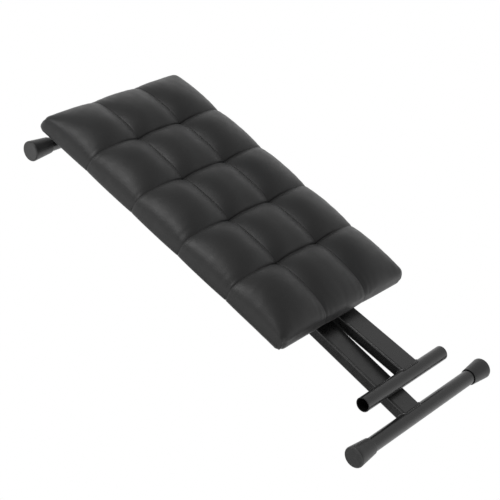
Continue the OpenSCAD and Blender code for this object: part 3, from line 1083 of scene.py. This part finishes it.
def cap_rings(length):
    """A rubber foot cap from its faintly dished end face, over the rim, into its bore."""
    flat = CAP_TIP_D - 2 * CAP_RIM_R
    rings = [
        (circle(0.30 * flat), 0.35 * MM),
        (circle(0.70 * flat), 0.25 * MM),
        (circle(0.93 * flat), 0.05 * MM),
        (circle(flat), 0.0),
    ]
    for i in range(1, RIM_STEPS + 1):
        angle = math.pi / 2 * i / RIM_STEPS
        rings.append((
            circle(flat + 2 * CAP_RIM_R * math.sin(angle)),
            CAP_RIM_R * (1 - math.cos(angle)),
        ))
    for t in (0.15, 0.4, 0.7, 1.0):
        at = CAP_RIM_R + t * (length - CAP_RIM_R - CAP_LIP_R)
        rings.append((circle(CAP_TIP_D + (CAP_MOUTH_D - CAP_TIP_D) * t), at))
    for i in range(1, LIP_STEPS + 1):
        angle = math.pi * i / LIP_STEPS
        rings.append((
            circle(CAP_MOUTH_D - CAP_LIP_DEPTH * (1 - math.cos(angle))),
            length - CAP_LIP_R + CAP_LIP_R * math.sin(angle),
        ))
    rings.append((circle(CAP_BORE_D), length - 2.5 * CAP_LIP_R))
    rings.append((circle(CAP_BORE_D), CAP_WALL))
    return rings


def make_caps():
    for leg in ("a", "b"):
        for end, inward in (("front", 1), ("rear", -1)):
            node = f"foot_cap_{leg}_{end}"
            low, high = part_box(node)
            tip = (centre_of(node).x, low.y if end == "front" else high.y, centre_of(node).z)
            shape = turned(cap_rings(high.y - low.y), tip, (0, inward, 0))
            add_turned(
                node + "_turned", [shape], RUBBER, node, "leg_" + leg, crisp=50
            )


make_caps()


# ------------------------------------------------------ camera and studio

AZIMUTH = 27.52
ELEVATION = 38.63
ROLL_ANGLE = 24.15
LENS_MM = 100.26
DISTANCE = 2.1
AIM = Vector((-0.0125, -0.0015, 0.025))
SENSOR_MM = 36
FLOOR_GLOW = 0.88
HORIZON_GLOW = 0.74
SKY_GLOW = 0.29
# Glow by height, from straight down (0) through level (0.5) to straight up (1).
SKY_STOPS = (
    (0.0, FLOOR_GLOW), (0.49, FLOOR_GLOW), (0.53, HORIZON_GLOW), (0.62, HORIZON_GLOW),
    (0.74, SKY_GLOW), (1.0, SKY_GLOW),
)
FLOOR_Z = -0.46
FLOOR_SIDE = 6.0
# Painted shade: a dim sheet over the floor, hidden from the camera, mirrored as dark reflections
# in the legs' near sides.
PAINTED_SHADE_LOW = (-0.34, -0.86)
PAINTED_SHADE_HIGH = (0.28, -0.30)
PAINTED_SHADE_LIFT = 0.02
PAINTED_SHADE_GLOW = 0.12


def add_camera():
    az, el, roll = (math.radians(a) for a in (AZIMUTH, ELEVATION, ROLL_ANGLE))
    back = Vector((math.sin(az) * math.cos(el), -math.cos(az) * math.cos(el), math.sin(el)))
    level = Vector((0, 0, 1)).cross(back).normalized()
    up = back.cross(level)
    right = level * math.cos(roll) + up * math.sin(roll)
    top = up * math.cos(roll) - level * math.sin(roll)
    camera = bpy.data.objects.new("camera", bpy.data.cameras.new("camera"))
    camera.data.lens = LENS_MM
    camera.data.sensor_width = SENSOR_MM
    camera.matrix_world = Matrix.Translation(AIM + back * DISTANCE) @ Matrix(
        (right, top, back)
    ).transposed().to_4x4()
    bpy.context.scene.collection.objects.link(camera)
    bpy.context.scene.camera = camera


def add_area_light(name, place, aim, size, power):
    light = bpy.data.lights.new(name, "AREA")
    light.shape = "RECTANGLE"
    light.size, light.size_y = size
    light.energy = power
    lamp = bpy.data.objects.new(name, light)
    lamp.location = place
    lamp.rotation_mode = "QUATERNION"
    lamp.rotation_quaternion = (Vector(aim) - Vector(place)).to_track_quat("-Z", "Y")
    lamp.visible_camera = False
    bpy.context.scene.collection.objects.link(lamp)


def add_world():
    """White to the eye; bright round the horizon and dim overhead for the lighting."""
    world = bpy.data.worlds.new("studio")
    world.use_nodes = True
    tree = world.node_tree
    tree.nodes.clear()
    direction = tree.nodes.new("ShaderNodeTexCoord")
    split = tree.nodes.new("ShaderNodeSeparateXYZ")
    ramp = tree.nodes.new("ShaderNodeValToRGB")
    band = ramp.color_ramp
    while len(band.elements) < len(SKY_STOPS):
        band.elements.new(0.5)
    for element, (position, glow) in zip(band.elements, SKY_STOPS):
        element.position = position
        element.color = (glow, glow, glow, 1)
    half = tree.nodes.new("ShaderNodeMath")
    half.operation = "MULTIPLY_ADD"
    half.inputs[1].default_value = 0.5
    half.inputs[2].default_value = 0.5
    seen = tree.nodes.new("ShaderNodeBackground")
    seen.inputs["Color"].default_value = (1, 1, 1, 1)
    fill = tree.nodes.new("ShaderNodeBackground")
    path = tree.nodes.new("ShaderNodeLightPath")
    mix = tree.nodes.new("ShaderNodeMixShader")
    out = tree.nodes.new("ShaderNodeOutputWorld")
    for source, target in (
        (direction.outputs["Generated"], split.inputs[0]),
        (split.outputs["Z"], half.inputs[0]),
        (half.outputs[0], ramp.inputs["Fac"]),
        (ramp.outputs["Color"], fill.inputs["Color"]),
        (path.outputs["Is Camera Ray"], mix.inputs["Fac"]),
        (fill.outputs[0], mix.inputs[1]),
        (seen.outputs[0], mix.inputs[2]),
        (mix.outputs[0], out.inputs["Surface"]),
    ):
        tree.links.new(source, target)
    bpy.context.scene.world = world


def add_sheet(name, low, high, z, power):
    """A level sheet of paper for the piece to stand over and mirror, or a dimmer sheet that
    paints shade into its reflections.
    """
    sheet = add_mesh(name, [
        (low[0], low[1], z), (high[0], low[1], z), (high[0], high[1], z), (low[0], high[1], z),
    ], [(0, 1, 2, 3)], paper_material(name + "_paper", power))
    return sheet


def add_floor():
    """A pale floor below the open legs, and a painted shade: a dim sheet, hidden from the
    camera, that only the near sides mirror as a dark reflection.
    """
    add_sheet("floor", (-FLOOR_SIDE, -FLOOR_SIDE), (FLOOR_SIDE, FLOOR_SIDE), FLOOR_Z, FLOOR_GLOW)
    # Painted shade for the near sides' reflections; the camera never sees this sheet.
    painted_shade_card = add_sheet("painted_shade_card", PAINTED_SHADE_LOW, PAINTED_SHADE_HIGH, FLOOR_Z + PAINTED_SHADE_LIFT, PAINTED_SHADE_GLOW)
    painted_shade_card.visible_camera = False


def paper_material(name, power):
    """White to the eye, as bright as power to whatever it lights, and clear from below."""
    material = bpy.data.materials.new(name)
    material.use_nodes = True
    tree = material.node_tree
    tree.nodes.clear()
    seen = tree.nodes.new("ShaderNodeEmission")
    glow = tree.nodes.new("ShaderNodeEmission")
    seen.inputs["Color"].default_value = (1, 1, 1, 1)
    glow.inputs["Color"].default_value = (power, power, power, 1)
    clear = tree.nodes.new("ShaderNodeBsdfTransparent")
    path = tree.nodes.new("ShaderNodeLightPath")
    side = tree.nodes.new("ShaderNodeNewGeometry")
    by_ray = tree.nodes.new("ShaderNodeMixShader")
    by_side = tree.nodes.new("ShaderNodeMixShader")
    out = tree.nodes.new("ShaderNodeOutputMaterial")
    for source, target in (
        (path.outputs["Is Camera Ray"], by_ray.inputs["Fac"]),
        (glow.outputs[0], by_ray.inputs[1]),
        (seen.outputs[0], by_ray.inputs[2]),
        (side.outputs["Backfacing"], by_side.inputs["Fac"]),
        (by_ray.outputs[0], by_side.inputs[1]),
        (clear.outputs[0], by_side.inputs[2]),
        (by_side.outputs[0], out.inputs["Surface"]),
    ):
        tree.links.new(source, target)
    return material


add_camera()
add_world()
add_floor()
add_area_light(
    "key", place=(-0.9, -0.85, 1.35), aim=(-0.15, 0, 0), size=(1.0, 0.8), power=9.5
)
add_area_light(
    "back_panel", place=(0.35, 1.9, 1.5), aim=(0, 0, 0), size=(3.6, 1.6), power=3.9
)
bpy.context.scene.view_settings.view_transform = "Standard"
